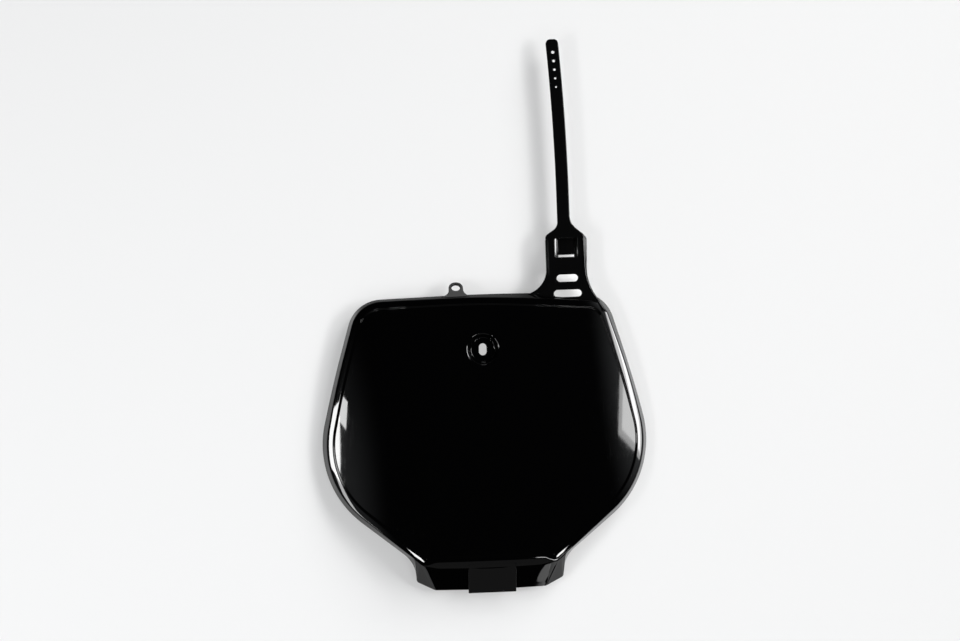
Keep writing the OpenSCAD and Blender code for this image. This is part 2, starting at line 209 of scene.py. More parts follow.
# %% Corners where the edges would meet
wide_z = CROWN_Z - WIDE_DROP
half_sum = math.radians((SIDE_LEAN + JAW_LEAN) / 2)
half_gap = math.radians((JAW_LEAN - SIDE_LEAN) / 2)
wide_reach = SIDE_R / math.cos(half_sum)
wide_centre = Vector((HALF_W - SIDE_R, 0, wide_z))
wide = wide_centre + wide_reach * Vector((math.cos(half_gap), 0, -math.sin(half_gap)))
lean = math.radians(SIDE_LEAN)
side = wide + SIDE_L * Vector((-math.sin(lean), 0, math.cos(lean)))
ear_x = EAR_W / 2
ear_top_z = wide.z - (wide.x - ear_x) / math.tan(math.radians(JAW_LEAN))
top = Vector((TOP_W / 2, 0, TOP_Z))
top_middle = Vector((0, 0, CROWN_Z))
ear_top = Vector((ear_x, 0, ear_top_z))
flare_less = (SKIRT_FLARE - TOP_FLARE) * (top - side).normalized()
rim_top = moved_in(top_middle, top, side, SKIRT_FLARE) + flare_less
rim_side = moved_in(top, side, wide, SKIRT_FLARE)
rim_wide = moved_in(side, wide, ear_top, JAW_FLARE)
rim_toe = Vector((FOOT_TOP_W / 2, 0, RIM_FOOT_Z))
rim_jaw = (rim_wide - rim_toe).normalized()
print("widest corner", tuple(round(v, 2) for v in wide))

# %% The skirt's outline and the rim's outline
CROWN_CUTS, TOP_CUTS, SIDE_CUTS, WIDE_CUTS = 10, 8, 4, 10
EAR_CUTS, LOBE_CUTS, TOE_CUTS = 3, 4, 9
skirt_half = [
    corner(top.x, top.z, TOP_R, depth=SKIRT_D, steps=14, cuts=TOP_CUTS),
    corner(side.x, side.z, reach=22, depth=SKIRT_D, steps=8, cuts=SIDE_CUTS),
    corner(wide.x, wide.z, SIDE_R, depth=SKIRT_D + 1, steps=26, cuts=WIDE_CUTS),
    corner(ear_x, ear_top_z, 24, depth=FOOT_D - 2, steps=8, cuts=EAR_CUTS),
    corner(ear_x, FOOT_Z + EAR_DROP, 3, depth=FOOT_D, steps=6, cuts=LOBE_CUTS),
    corner(TOE_W / 2, FOOT_Z + TOE_LIFT, 2, depth=FOOT_D, steps=6, cuts=TOE_CUTS),
]


def rim_half(x, z, radius):
    """The rim's corners down the right half, for a given top corner."""
    ease = rim_toe + 10 * rim_jaw
    mid = rim_toe + 5 * rim_jaw
    return [
        corner(x, z, radius, steps=14, cuts=TOP_CUTS),
        corner(rim_side.x, rim_side.z, reach=22, steps=8, cuts=SIDE_CUTS),
        corner(rim_wide.x, rim_wide.z, SIDE_R - JAW_FLARE, steps=26, cuts=WIDE_CUTS),
        corner(ease.x, ease.z, steps=8, cuts=EAR_CUTS),
        corner(mid.x, mid.z, steps=6, cuts=LOBE_CUTS),
        corner(rim_toe.x, rim_toe.z, 7, steps=6, cuts=TOE_CUTS),
    ]


def whole(crown_z, right, foot_z, left, depth=0.0, foot_depth=0.0):
    """A closed outline: the crown's middle, the right half, the foot's middle, the left half."""
    across = mirrored(left)
    across[-1]["cuts"] = CROWN_CUTS
    return ([corner(0, crown_z, reach=30, depth=depth, steps=6, cuts=CROWN_CUTS)] + right
            + [corner(0, foot_z, reach=18, depth=foot_depth, steps=4, cuts=TOE_CUTS)] + across)


skirt_ring = trace(whole(CROWN_Z, skirt_half, FOOT_Z, skirt_half, SKIRT_D, FOOT_D - 1))
neck_side = rim_half(rim_top.x, rim_top.z - NECK_DIP, TOP_R - 10)
plain_side = rim_half(rim_top.x, rim_top.z, TOP_R - SKIRT_FLARE)
rim_ring = trace(whole(CROWN_Z - TOP_FLARE, neck_side, RIM_FOOT_Z, plain_side))
COUNT = len(rim_ring)
print("points in each ring:", len(skirt_ring), COUNT)

# %% [markdown]
# ## The shell
# The moulding is one skin that starts at the skirt's back edge, comes forward over the
# rim, crosses the face, goes down the dish and through the fixing slot, and returns
# along the back. Each ring is extruded from the last and moved into place, which keeps
# the strips even, so that the gloss shows no dents. Booleans would leave thin
# triangles on a surface that mirrors its surroundings.


# %% Extrude a ring and place it
def start_ring(bm, places):
    ring = [bm.verts.new(p) for p in places]
    for i, v in enumerate(ring):
        bm.edges.new((v, ring[(i + 1) % len(ring)]))
    return ring


def pull(bm, ring, places):
    """Extrudes a closed ring and moves each new vertex to its place."""
    old = set(ring)
    edges = {e for v in ring for e in v.link_edges if e.other_vert(v) in old}
    grown = bmesh.ops.extrude_edge_only(bm, edges=list(edges))["geom"]
    fresh = {g for g in grown if isinstance(g, bmesh.types.BMVert)}
    out = []
    for v, place in zip(ring, places):
        twin = [e.other_vert(v) for e in v.link_edges if e.other_vert(v) in fresh][0]
        out.append(twin)
        twin.co = place
    return out


def mix(a, b, f):
    return [p.lerp(q, f) for p, q in zip(a, b)]


def at_depth(points, depths):
    return [Vector((p.x, d, p.z)) for p, d in zip(points, depths)]


def on_face(points, back):
    return at_depth(points, [face_at(p) + back for p in points])


# %% [markdown]
# ### The dish and its slot
# The dish is a round bowl with a flat floor. Its rings keep the count of the outline's
# points and spread them evenly round the dish. The slot's ring is the floor's ring cast
# inwards onto a shape with straight sides and round ends.


# %% Rings round the fixing slot
DISH_R = 13.7
SLOT_W, SLOT_L = 5.8, 9.2
FIRST_POINT = 3


def dish_angle(i):
    return 2 * math.pi * (i - FIRST_POINT) / COUNT


def circle(radius):
    angles = [dish_angle(i) for i in range(COUNT)]
    return [Vector((radius * math.sin(a), 0, radius * math.cos(a))) for a in angles]


def slot(grow):
    """The slot's ring, wider all round by grow."""
    half, straight = SLOT_W / 2 + grow, (SLOT_L - SLOT_W) / 2
    out = []
    for i in range(COUNT):
        s, c = math.sin(dish_angle(i)), math.cos(dish_angle(i))
        if abs(c) * half <= straight * abs(s):
            reach = half / abs(s)
        else:
            reach = straight * abs(c) + math.sqrt(half * half - (straight * s) ** 2)
        out.append(Vector((reach * s, 0, reach * c)))
    return out


def level(points, y, share=0.0):
    """A ring at one depth; share of it follows the bow of the face."""
    return at_depth(points, [y + share * (face_at(p) - FACE_Y) for p in points])


# %% [markdown]
# ### From the skirt over the rim
# Seen in section, the skirt and the rim's flat meet in a small fillet, and on the foot
# in a wide one, because there the plastic only bends back by some forty degrees. Each
# point of the ring has its own tangent length, and three control points give the curve.
# The rim's flat is crowned a little: it falls back towards its outer edge, so that it
# catches the lamps in one long line.

# %% Sections of the skirt and the rim
FILLET, FOOT_FILLET = 0.9, 4.2
CROWN_H, STEP_IN, FOOT_STEP = 0.25, 4.9, 1.3
DIP_H, DIP_REACH, DIP_FROM_X, DIP_FROM_Z = 3.8, 22, 46, 25
FOOT_HALF_W, FOOT_EASE = 49, 8


def smooth(f):
    f = min(max(f, 0.0), 1.0)
    return f * f * (3 - 2 * f)


def neck_dip(p):
    """How far the skirt's edge dips behind the neck, so that the strap's slots stay open."""
    if p.x <= DIP_FROM_X or p.z <= DIP_FROM_Z:
        return 0.0
    return DIP_H * max(0.0, 1 - abs(p.x - NECK_X) / DIP_REACH) ** 0.5


def crowning(distance):
    """How far the rim's flat falls back at a distance from its outer edge."""
    return CROWN_H * max(0.0, 1 - distance / STEP_IN) ** 2


def on_rim(p, back):
    """A point's place on the rim, which follows the bow of the face, a step in front of it."""
    return Vector((p.x, face_at(p) - RIM_STEP + back, p.z))


def foot_share(p):
    """One along the foot's bend, and nothing elsewhere."""
    return smooth((FOOT_HALF_W - abs(p.x)) / FOOT_EASE) if p.z < RIM_FOOT_Z + 2 else 0.0


lip = [face_at(p) - RIM_STEP for p in rim_ring]
skirt_flat = [Vector((p.x, 0, p.z - neck_dip(p))) for p in skirt_ring]
depth = [p.y for p in skirt_ring]
rim_flat = [flat(p) for p in rim_ring]
rim_way = [b - a for a, b in zip(rim_flat, inset(rim_flat, 1.0))]
on_foot = [foot_share(p) for p in rim_flat]
fillet = [FILLET + (FOOT_FILLET - FILLET) * w for w in on_foot]
ridge = [p + Vector((0, l + crowning(0), 0)) for p, l in zip(rim_flat, lip)]
back_edge = [p + Vector((0, l + d, 0)) for p, l, d in zip(skirt_flat, lip, depth)]
rim_start = [on_rim(p + t * w, crowning(t)) for p, t, w in zip(rim_flat, fillet, rim_way)]
skirt_end = [r + t * (b - r).normalized() for r, t, b in zip(ridge, fillet, back_edge)]
print("fillet of the rim:", FILLET, "mm, of the foot:", FOOT_FILLET, "mm")

# %% Rings of the skirt and the rim
FOOT_ROLL, ROLL_REACH, ROLL_PAST, ROLL_TOP, ROLL_LOW = 1.0, 13, 0.3, 3, 9


def foot_roll(p):
    """The foot's face falls away a little before the crease of the right ear."""
    if p.z > RIM_FOOT_Z or p.x < 0:
        return p
    crease = FOOT_TOP_W / 2 - (FOOT_TOP_W - TOE_W) / 2 * (RIM_FOOT_Z - p.z) / FOOT_H
    near = max(0.0, 1 - max(0.0, crease - p.x) / ROLL_REACH)
    top_share = smooth((RIM_FOOT_Z - p.z) / ROLL_TOP)
    low_share = smooth((p.z - FOOT_Z + 1) / ROLL_LOW)
    drop = FOOT_ROLL * near * near * top_share * low_share
    return p + Vector((0, drop if p.x < crease + ROLL_PAST else 0.0, 0))


def skirt_at(f):
    return [foot_roll(p) for p in mix(skirt_end, back_edge, f)]


def before_edge(distance):
    return [b + distance * (r - b).normalized() for r, b in zip(ridge, back_edge)]


def over_ridge(f):
    return [foot_roll((1 - f) ** 2 * a + 2 * f * (1 - f) * r + f * f * b)
            for a, r, b in zip(rim_start, ridge, skirt_end)]


def rim_at(distance, back):
    return [on_rim(p, back) for p in inset(rim_flat, distance)]


def rim_level(f):
    along = [t + (STEP_IN - t) * f for t in fillet]
    return [on_rim(p + d * w, crowning(d)) for p, d, w in zip(rim_flat, along, rim_way)]


step_w = [RIM_W - STEP_IN + FOOT_STEP * w for w in on_foot]


def rim_step(f):
    """The step from the rim's flat down to the face; it is wider on the foot."""
    places = [p + (STEP_IN + s * f) * w for p, s, w in zip(rim_flat, step_w, rim_way)]
    return [on_rim(p, RIM_STEP * smooth(f)) for p in places]


print("step of the rim:", round(min(step_w), 2), "to", round(max(step_w), 2), "mm wide")

# %% Skin the front, from the skirt's back edge over the rim
BACK_ROUND = 0.35
bm = bmesh.new()
first_ring = at_depth(inset(skirt_flat, BACK_ROUND), [p.y for p in back_edge])
ring = start_ring(bm, first_ring)
ring = pull(bm, ring, [p.lerp(q, 0.3) for p, q in zip(back_edge, before_edge(BACK_ROUND))])
for distance in (BACK_ROUND, 0.9):
    ring = pull(bm, ring, before_edge(distance))
for f in (0.8, 0.6, 0.4, 0.2, 0.0):
    ring = pull(bm, ring, skirt_at(f))
for k in range(1, 10):
    ring = pull(bm, ring, over_ridge(1 - k / 9))
for f in (0.17, 0.34, 0.5, 0.66, 0.83, 1.0):
    ring = pull(bm, ring, rim_level(f))
for f in (0.12, 0.28, 0.42, 0.58, 0.72, 0.88, 1.0):
    ring = pull(bm, ring, rim_step(f))
print("rings to the rim's inner edge:", len(bm.verts) // COUNT)

# %% Skin the face, the dish and the slot
FACE_STRIPS, FACE_POWER = 34, 1.1
face_edge = [p + (STEP_IN + s + 0.5) * w for p, s, w in zip(rim_flat, step_w, rim_way)]
ring = pull(bm, ring, on_face(face_edge, 0))
for k in range(1, FACE_STRIPS):
    f = (k / FACE_STRIPS) ** FACE_POWER
    ring = pull(bm, ring, on_face(mix(face_edge, circle(DISH_R), f), 0))
# each ring's radius, its depth behind the face, and how much of it follows the bow
bowl = [
    (13.3, 0.0, 1.0), (12.75, 0.07, 1.0), (12.3, 0.23, 1.0), (11.9, 0.48, 1.0),
    (11.55, 0.82, 0.9), (11.28, 1.2, 0.8), (10.6, 2.25, 0.5), (9.8, 3.2, 0.25),
    (9.35, 3.7, 0.1), (9.15, 3.87, 0), (8.9, 3.97, 0), (8.6, 4.0, 0),
    (7.6, 4.0, 0), (6.4, 4.0, 0),
]
for radius, back, share in bowl:
    ring = pull(bm, ring, level(circle(radius), FACE_Y + back, share))
# how much wider the slot's ring is, and its y; both ends of the slot are rounded
slot_rings = [
    (0.3, -3.0), (0.15, -2.97), (0.03, -2.85), (0.0, -2.6),
    (0.0, -0.35), (0.1, -0.1), (0.35, 0.0),
]
for grow, y in slot_rings:
    ring = pull(bm, ring, level(slot(grow), y))
print("rings to the slot's back:", len(bm.verts) // COUNT)

# %% Skin the back
BACK_STRIPS, CUP_R = 16, 15.4
# each ring's radius, its y, and how much of it follows the bow
cup = [
    (6.6, 0.0, 0), (10.2, 0.0, 0), (10.55, -0.06, 0), (10.85, -0.3, 0),
    (12.2, -2.2, 0.4), (13.2, -3.6, 0.8), (13.7, -4.15, 1), (14.4, -4.42, 1),
    (CUP_R, -4.5, 1),
]
for radius, y, share in cup:
    ring = pull(bm, ring, level(circle(radius), y, share))
face_ring = inset(rim_flat, RIM_W)
for k in range(1, BACK_STRIPS + 1):
    ring = pull(bm, ring, on_face(mix(circle(CUP_R), face_ring, k / BACK_STRIPS), WALL))
rim_inner = inset(rim_flat, WALL)
for distance, back in ((1.1, 0.0), (0.35, 0.08), (0.05, 0.45)):
    ring = pull(bm, ring, rim_at(WALL + distance, WALL + back))
skirt_inner = inset(skirt_flat, WALL)
for f in (0.2, 0.45, 0.7, 0.96):
    depths = [l + WALL + (d - WALL) * f for l, d in zip(lip, depth)]
    ring = pull(bm, ring, at_depth(mix(rim_inner, skirt_inner, f), depths))
last_ring = inset(skirt_flat, WALL - BACK_ROUND)
ring = pull(bm, ring, at_depth(last_ring, [l + d for l, d in zip(lip, depth)]))
ring = pull(bm, ring, first_ring)
bmesh.ops.remove_doubles(bm, verts=bm.verts[:], dist=0.001)
shell = bm
print("shell:", len(shell.verts), "points,", len(shell.faces), "faces")

# %% [markdown]
# ## Flat mouldings with holes
# The neck, the strap and the lug are flat plates with rounded edges and holes. Each
# loop of their outlines is pulled from the back to the front round both edges, and the
# flats between the loops are filled. A narrow strip of the flat is kept beside each
# rounded edge, so that the shading of the flat stays flat.


# %% Make a rounded plate
def plate(bm, loops, front, back, edge):
    """Loops run clockwise, holes anticlockwise, so that inwards is always into the plastic."""
    strip = edge + 0.25
    steps = [math.radians(a) for a in (0, 22.5, 45, 67.5, 90)]
    path = [(strip, back)]
    path += [(edge * (1 - math.sin(a)), back - edge * (1 - math.cos(a))) for a in steps]
    path += [(edge * (1 - math.sin(a)), front + edge * (1 - math.cos(a))) for a in reversed(steps)]
    path += [(strip, front)]
    ends = [], []
    for loop in loops:
        base = [flat(p) for p in loop]
        ring = start_ring(bm, [Vector((p.x, path[0][1], p.z)) for p in inset(base, path[0][0])])
        rings = [ring]
        for distance, y in path[1:]:
            ring = pull(bm, ring, [Vector((p.x, y, p.z)) for p in inset(base, distance)])
            rings.append(ring)
        for end, edge_ring in zip(ends, (rings[0], rings[-1])):
            n = len(edge_ring)
            end += [bm.edges.get((edge_ring[i], edge_ring[(i + 1) % n])) for i in range(n)]
    for end in ends:
        bmesh.ops.triangle_fill(bm, use_beauty=True, edges=end)


def obround(x, z, length, width, steps=12):
    """A slot's outline, anticlockwise, for a hole."""
    half, straight = width / 2, (length - width) / 2
    out = []
    for end in (1, -1):
        for k in range(steps + 1):
            a = math.pi * k / steps - math.pi / 2 + (0 if end == 1 else math.pi)
            out.append(Vector((x + end * straight + half * math.cos(a), 0, z + half * math.sin(a))))
    return out


def round_hole(x, z, diameter, steps=28):
    radius, angles = diameter / 2, [2 * math.pi * k / steps for k in range(steps)]
    return [Vector((x + radius * math.cos(a), 0, z + radius * math.sin(a))) for a in angles]


print("plates and holes ready")

# %% [markdown]
# ## Neck and strap
# The neck stands a little behind the rim. It has two slots that the strap is threaded
# through, and the keeper's window above them. The strap leans gently to the left.

# %% The outline of the neck and the strap
NECK_W, NECK_H, NECK_SET, NECK_D = 30.2, 43.1, 3.6, 6.0
STRAP_W, STRAP_T, STRAP_L, STRAP_R, STRAP_STRAIGHT = 9.8, 2.5, 152.0, 1720.0, 31.0
neck_y = face_at(Vector((NECK_X, 0, CROWN_Z))) - RIM_STEP + NECK_SET
IN_SHIFT, OUT_SHIFT = 0.8, 1.3
neck_in, neck_out = NECK_X - IN_SHIFT - NECK_W / 2, NECK_X - OUT_SHIFT + NECK_W / 2
shoulder_z = CROWN_Z + NECK_H
root_z = rim_top.z - NECK_DIP - 3
strap_in = NECK_X - 6.2
strap_out = strap_in + STRAP_W
tip_z = shoulder_z + STRAP_L
bend_z = shoulder_z + STRAP_STRAIGHT
bow_z = bend_z + (tip_z - 4.5 - bend_z) / 2


def strap_shift(z):
    """How far the strap has bent to the left at a height."""
    return max(0.0, z - bend_z) ** 2 / (2 * STRAP_R)


outer_root = Vector((rim_top.x + 2, 0, rim_top.z - TOP_R / 2))
root_x = neck_in - 23
neck_corners = [
    corner(neck_in, TOP_Z, 20, steps=14, cuts=4),
    corner(neck_in, shoulder_z, 3.5, steps=6, cuts=1),
    corner(strap_in, shoulder_z + 6.5, 7, steps=8, cuts=6),
    corner(strap_in, bow_z, STRAP_R - STRAP_W / 2, steps=24, cuts=1),
    corner(strap_in - strap_shift(tip_z), tip_z, 3.6, steps=8, cuts=1),
    corner(strap_out - strap_shift(tip_z), tip_z, 3.6, steps=8, cuts=1),
    corner(strap_out, bow_z, STRAP_R + STRAP_W / 2, steps=24, cuts=6),
    corner(strap_out, shoulder_z + 8, 14, steps=10, cuts=1),
    corner(neck_out, shoulder_z, 1.2, steps=4, cuts=4),
    corner(neck_out + 0.8, CROWN_Z + 6, 45, steps=12, cuts=1),
    corner(outer_root.x, outer_root.z, reach=0.6, steps=2, cuts=1),
    corner(neck_out - WALL, outer_root.z, reach=0.6, steps=2, cuts=1),
    corner(neck_out - WALL, root_z, reach=0.6, steps=2, cuts=1),
    corner(root_x, root_z, reach=0.6, steps=2, cuts=1),
    corner(root_x, TOP_Z, reach=0.6, steps=2, cuts=1),
]
neck_loop = trace(neck_corners)
print("neck outline:", len(neck_loop), "points; strap tip at Z", tip_z)

# %% Holes of the neck and the strap
LOWER_SLOT_Z, SLOT_GAP, STRAP_SLOT_W = CROWN_Z - 2, 11.8, 5.6
LOWER_SLOT_L, UPPER_SLOT_L = 21.5, 16.5
PEGS, PEG_DROP, PEG_GAP, PEG_D, PEG_LESS = 5, 10.2, 6.75, 2.3, 0.25
KEEPER_W, KEEPER_H, KEEPER_SLIT, KEEPER_BAR_W, KEEPER_SET = 17.4, 14.6, 1.8, 13.4, 3.0
WINDOW_R = 0.9
keeper_z = shoulder_z - 2.4 - KEEPER_H / 2
half_w, half_h = KEEPER_W / 2, KEEPER_H / 2
keeper_top, keeper_foot = keeper_z + half_h, keeper_z - half_h
window = trace([corner(NECK_X + sx * half_w, z, WINDOW_R, reach=WINDOW_R, steps=4, cuts=1)
                for sx, z in ((-1, keeper_top), (1, keeper_top), (1, keeper_foot), (-1, keeper_foot))])
holes = [
    obround(NECK_X, LOWER_SLOT_Z, LOWER_SLOT_L, STRAP_SLOT_W),
    obround(NECK_X, LOWER_SLOT_Z + SLOT_GAP, UPPER_SLOT_L, STRAP_SLOT_W),
    list(reversed(window)),
]
for k in range(PEGS):
    z = tip_z - PEG_DROP - PEG_GAP * k
    x = strap_in + STRAP_W / 2 - strap_shift(z)
    holes.append(round_hole(x, z, PEG_D - PEG_LESS * k))
skin_faces = set(shell.faces)
plate(shell, [neck_loop] + holes, neck_y, neck_y + STRAP_T, 0.55)
print("neck and strap:", len(holes), "holes")

# %% [markdown]
# ## The neck's side walls
# Behind the neck's front a wall runs down each side and stiffens it. The outer wall
# slopes outwards before it runs back, so a narrow band of it shows to the right of the
# neck. Each wall is a chain of points that is extruded twice, once for the slope and
# once for the run back, and given its thickness with solidify.


# %% Make one side wall
FLANK_SLOPE, FLANK_T = 0.44, WALL - 0.3
SLOPE_END, WALL_END = 1.0, 1.25


def flank(bm, line, outwards, reaches):
    """A wall behind a line. It first slopes outwards, by each point's reach, and then runs back."""
    chain = [bm.verts.new(Vector((p.x, neck_y + 0.35, p.z))) for p in line]
    edges = [bm.edges.new((a, b)) for a, b in zip(chain, chain[1:])]
    walls = []
    for out, back in ((SLOPE_END, None), (WALL_END, NECK_D)):
        grown = bmesh.ops.extrude_edge_only(bm, edges=edges)["geom"]
        fresh = {g for g in grown if isinstance(g, bmesh.types.BMVert)}
        walls += [g for g in grown if isinstance(g, bmesh.types.BMFace)]
        twins = [[e.other_vert(v) for e in v.link_edges if e.other_vert(v) in fresh][0] for v in chain]
        for i, v in enumerate(twins):
            ahead, behind = line[min(i + 1, len(line) - 1)], line[max(i - 1, 0)]
            way = inward(flat(behind - ahead).normalized()) * outwards
            y = neck_y + (back or 0.4 + FLANK_SLOPE * reaches[i])
            v.co = flat(line[i]) + out * reaches[i] * way + Vector((0, y, 0))
        chain = twins
        edges = [bm.edges.get((a, b)) for a, b in zip(chain, chain[1:])]
    bmesh.ops.recalc_face_normals(bm, faces=walls)
    side_way = Vector((outwards, 0, 0))
    if sum((f.normal * f.calc_area() for f in walls), Vector()).dot(side_way) < 0:
        bmesh.ops.reverse_faces(bm, faces=walls)
    bmesh.ops.solidify(bm, geom=walls, thickness=FLANK_T)


print("side walls are", round(FLANK_T, 2), "mm thick")

# %% The neck's outer and inner walls
FLANK_TOP, FLANK_FOOT, FLANK_L, SHOULDER_SHARE = 2.2, 0.4, 42, 0.15
outer_line = trace([
    corner(strap_out, shoulder_z + 30, reach=0.1, steps=1, cuts=0),
    corner(strap_out, shoulder_z + 8, 14, steps=10, cuts=1),
    corner(neck_out, shoulder_z, 1.2, steps=6, cuts=12),
    corner(neck_out + 0.8, CROWN_Z + 6, 45, steps=16, cuts=4),
    corner(outer_root.x, outer_root.z, reach=0.3, steps=1, cuts=0),
    corner(strap_out, outer_root.z, reach=0.3, steps=1, cuts=0),
])


def on_outer_side(p):
    """True along the shoulder and down the neck's outer side, false where the trace closes."""
    outside = p.x > neck_out - 2 or p.z > shoulder_z
    return outside and p.x > strap_out + 1.5 and p.z > outer_root.z - 0.2


def outer_reach(p):
    """The slope is widest just below the shoulder and narrows towards the foot."""
    start = SHOULDER_SHARE + (1 - SHOULDER_SHARE) * smooth((shoulder_z + 0.3 - p.z) / 3.5)
    return start * (FLANK_TOP + (FLANK_FOOT - FLANK_TOP) * smooth((shoulder_z - p.z) / FLANK_L))


outer_line = [p for p in outer_line if on_outer_side(p)]
inner_line = trace([
    corner(neck_in, TOP_Z, 17, steps=14, cuts=8),
    corner(neck_in, shoulder_z, reach=0.5, steps=1, cuts=0),
    corner(neck_out, shoulder_z, reach=0.5, steps=1, cuts=0),
    corner(neck_out, TOP_Z - 30, reach=0.5, steps=1, cuts=0),
    corner(neck_in - 20, TOP_Z - 30, reach=0.5, steps=1, cuts=0),
    corner(neck_in - 20, TOP_Z, reach=0.5, steps=1, cuts=0),
])
below_shoulder = [p for p in inner_line if p.z < shoulder_z - 2]
inner_line = [p for p in below_shoulder if neck_in - 18 < p.x <= neck_in + 0.01]
flank(shell, outer_line, 1, [outer_reach(p) for p in outer_line])
flank(shell, inner_line, -1, [0.02] * len(inner_line))
print("side walls:", len(outer_line), "and", len(inner_line), "points")

# %% [markdown]
# ## The keeper
# The keeper is a shallow channel behind the window. Its sides slope in to a bar, and
# the bar stops short of the window's lower edge, which leaves the thin slit that light
# comes through. The channel's section is extruded upwards, once for each side and once
# for the bar, a short wall closes it at the top, and its edges are bevelled.


# %% Extrude a section and bevel it
def prism(bm, section, way, bevel):
    """A section's points, extruded along a vector, with rounded edges."""
    verts = [bm.verts.new(p) for p in section]
    face = bm.faces.new(verts)
    grown = bmesh.ops.extrude_face_region(bm, geom=[face], use_keep_orig=True)["geom"]
    bmesh.ops.translate(bm, verts=[g for g in grown if isinstance(g, bmesh.types.BMVert)], vec=way)
    verts += [g for g in grown if isinstance(g, bmesh.types.BMVert)]
    faces = list({f for v in verts for f in v.link_faces})
    bmesh.ops.recalc_face_normals(bm, faces=faces)
    edges = list({e for f in faces for e in f.edges})
    bmesh.ops.bevel(bm, geom=edges, offset=bevel, offset_type="OFFSET", segments=3,
                    profile=0.5, affect="EDGES", clamp_overlap=True, material=-1)


print("prisms ready")

# %% The keeper's sides, its bar and the wall above it
BAR_T, KEEPER_OVER, RIGHT_DEEPER = 2.4, 1.6, 0.35
bar = KEEPER_BAR_W / 2
bar_front = neck_y + KEEPER_SET
bar_back = bar_front + BAR_T
behind_plate = neck_y + STRAP_T - 0.4
for s in (-1, 1):
    lip_y = neck_y + 1.3 + RIGHT_DEEPER * (s > 0)
    section = [Vector((NECK_X + s * x, y, keeper_foot - 0.4)) for x, y in (
        (half_w + 0.5, neck_y + 0.45), (half_w - 1.5, lip_y), (bar - 0.6, bar_front + 0.1),
        (bar - 0.6, bar_back), (bar + 2.0, bar_back), (half_w + 2.2, behind_plate))]
    prism(shell, section, Vector((0, 0, KEEPER_H + KEEPER_OVER)), 0.25)
section = [Vector((NECK_X + x, y, keeper_foot + KEEPER_SLIT)) for x, y in (
    (-bar - 0.3, bar_front), (bar + 0.3, bar_front), (bar + 0.3, bar_back), (-bar - 0.3, bar_back))]
prism(shell, section, Vector((0, 0, KEEPER_H - KEEPER_SLIT + KEEPER_OVER)), 0.3)
section = [Vector((NECK_X - bar - 0.6, y, z)) for y, z in (
    (behind_plate, keeper_top + 0.1), (bar_front + 2.3, keeper_top + 0.1),
    (bar_front + 2.3, keeper_top + 2.4), (behind_plate, keeper_top + 2.4))]
prism(shell, section, Vector((KEEPER_BAR_W + 1.2, 0, 0)), 0.2)
# the neck, the strap and the keeper get the third finish, the shell the first
for face in shell.faces:
    face.material_index = 0 if face in skin_faces else 2
print("keeper's bar is", KEEPER_BAR_W, "mm wide")

# %% [markdown]
# ## Hanging lug
# The lug is drawn upright as a small plate with a hole, then leaned back and set on
# the top edge.

# %% The lug
LUG_X, LUG_W, LUG_HOLE, LUG_T, LUG_LEAN, LUG_L = -18.8, 10.6, 6.8, 2.2, 40.0, 8.8
lug_edge_z = CROWN_Z - TOP_FALL * abs(LUG_X) / (TOP_W / 2)
lug_y = face_at(Vector((LUG_X, 0, lug_edge_z))) - RIM_STEP + SKIRT_D / 2
half, spread = LUG_W / 2, 6.2
waist, waist_r = half + 0.6, 6.5
lug_loop = trace([
    corner(-waist, 0.9, waist_r, steps=8, cuts=2),
    corner(-half, LUG_L + half, half - 0.01, steps=12, cuts=0),
    corner(half, LUG_L + half, half - 0.01, steps=12, cuts=2),
    corner(waist, 0.9, waist_r, steps=8, cuts=1),
    corner(half + spread, 0, reach=0.2, steps=2, cuts=0),
    corner(half + spread, -4, reach=0.4, steps=2, cuts=2),
    corner(-half - spread, -4, reach=0.4, steps=2, cuts=0),
    corner(-half - spread, 0, reach=0.2, steps=2, cuts=1),
])
lug = bmesh.new()
plate(lug, [lug_loop, round_hole(0, LUG_L, LUG_HOLE, 40)], 0, LUG_T, 0.45)
leaned = Matrix.Rotation(-math.radians(LUG_LEAN), 4, "X")
placed = Matrix.Translation((LUG_X, lug_y, lug_edge_z - 0.6)) @ leaned
bmesh.ops.transform(lug, verts=lug.verts[:], matrix=placed)
print("lug:", len(lug.faces), "faces")

# %% [markdown]
# ## Foot tab
# The tab is a slab on the foot. It starts a little behind the rim's lower edge and
# reaches a little below the foot's edge.

# %% The tab
TAB_W, TAB_X, TAB_DROP, TAB_OUT = 37.0, 1.2, 2.4, 2.2
foot_y = face_at(Vector((0, 0, RIM_FOOT_Z))) - RIM_STEP
tab_z = FOOT_Z - TAB_DROP
tab = bmesh.new()
tab_back = foot_y + FOOT_D
section = [Vector((TAB_X - TAB_W / 2, y, z)) for y, z in (
    (foot_y + 0.7, RIM_FOOT_Z + 0.2), (tab_back - TAB_OUT, tab_z), (tab_back, tab_z),
    (tab_back, FOOT_Z + 0.6), (foot_y + 4.2, RIM_FOOT_Z))]
prism(tab, section, Vector((TAB_W, 0, 0)), 0.5)
# a narrow strip round each broad face keeps its shading flat
broad = [face for face in tab.faces if face.calc_area() > 60]
bmesh.ops.inset_individual(tab, faces=broad, thickness=0.4)
print("tab from Z", tab_z, "to", RIM_FOOT_Z)

# %% [markdown]
# ## One moulding
# All the shapes belong to one moulding, so they become one object. Its place is in its
# mesh and its object stays at the origin. Edges sharper than 40 degrees keep a crisp
# line in the shading.


# %% Join the shapes into one object
SHARP_ANGLE = math.radians(40)


def finished(bm, name):
    bmesh.ops.recalc_face_normals(bm, faces=bm.faces[:])
    bmesh.ops.scale(bm, verts=bm.verts[:], vec=(MM, MM, MM))
    mesh = bpy.data.meshes.new(name)
    bm.to_mesh(mesh)
    bm.free()
    return mesh


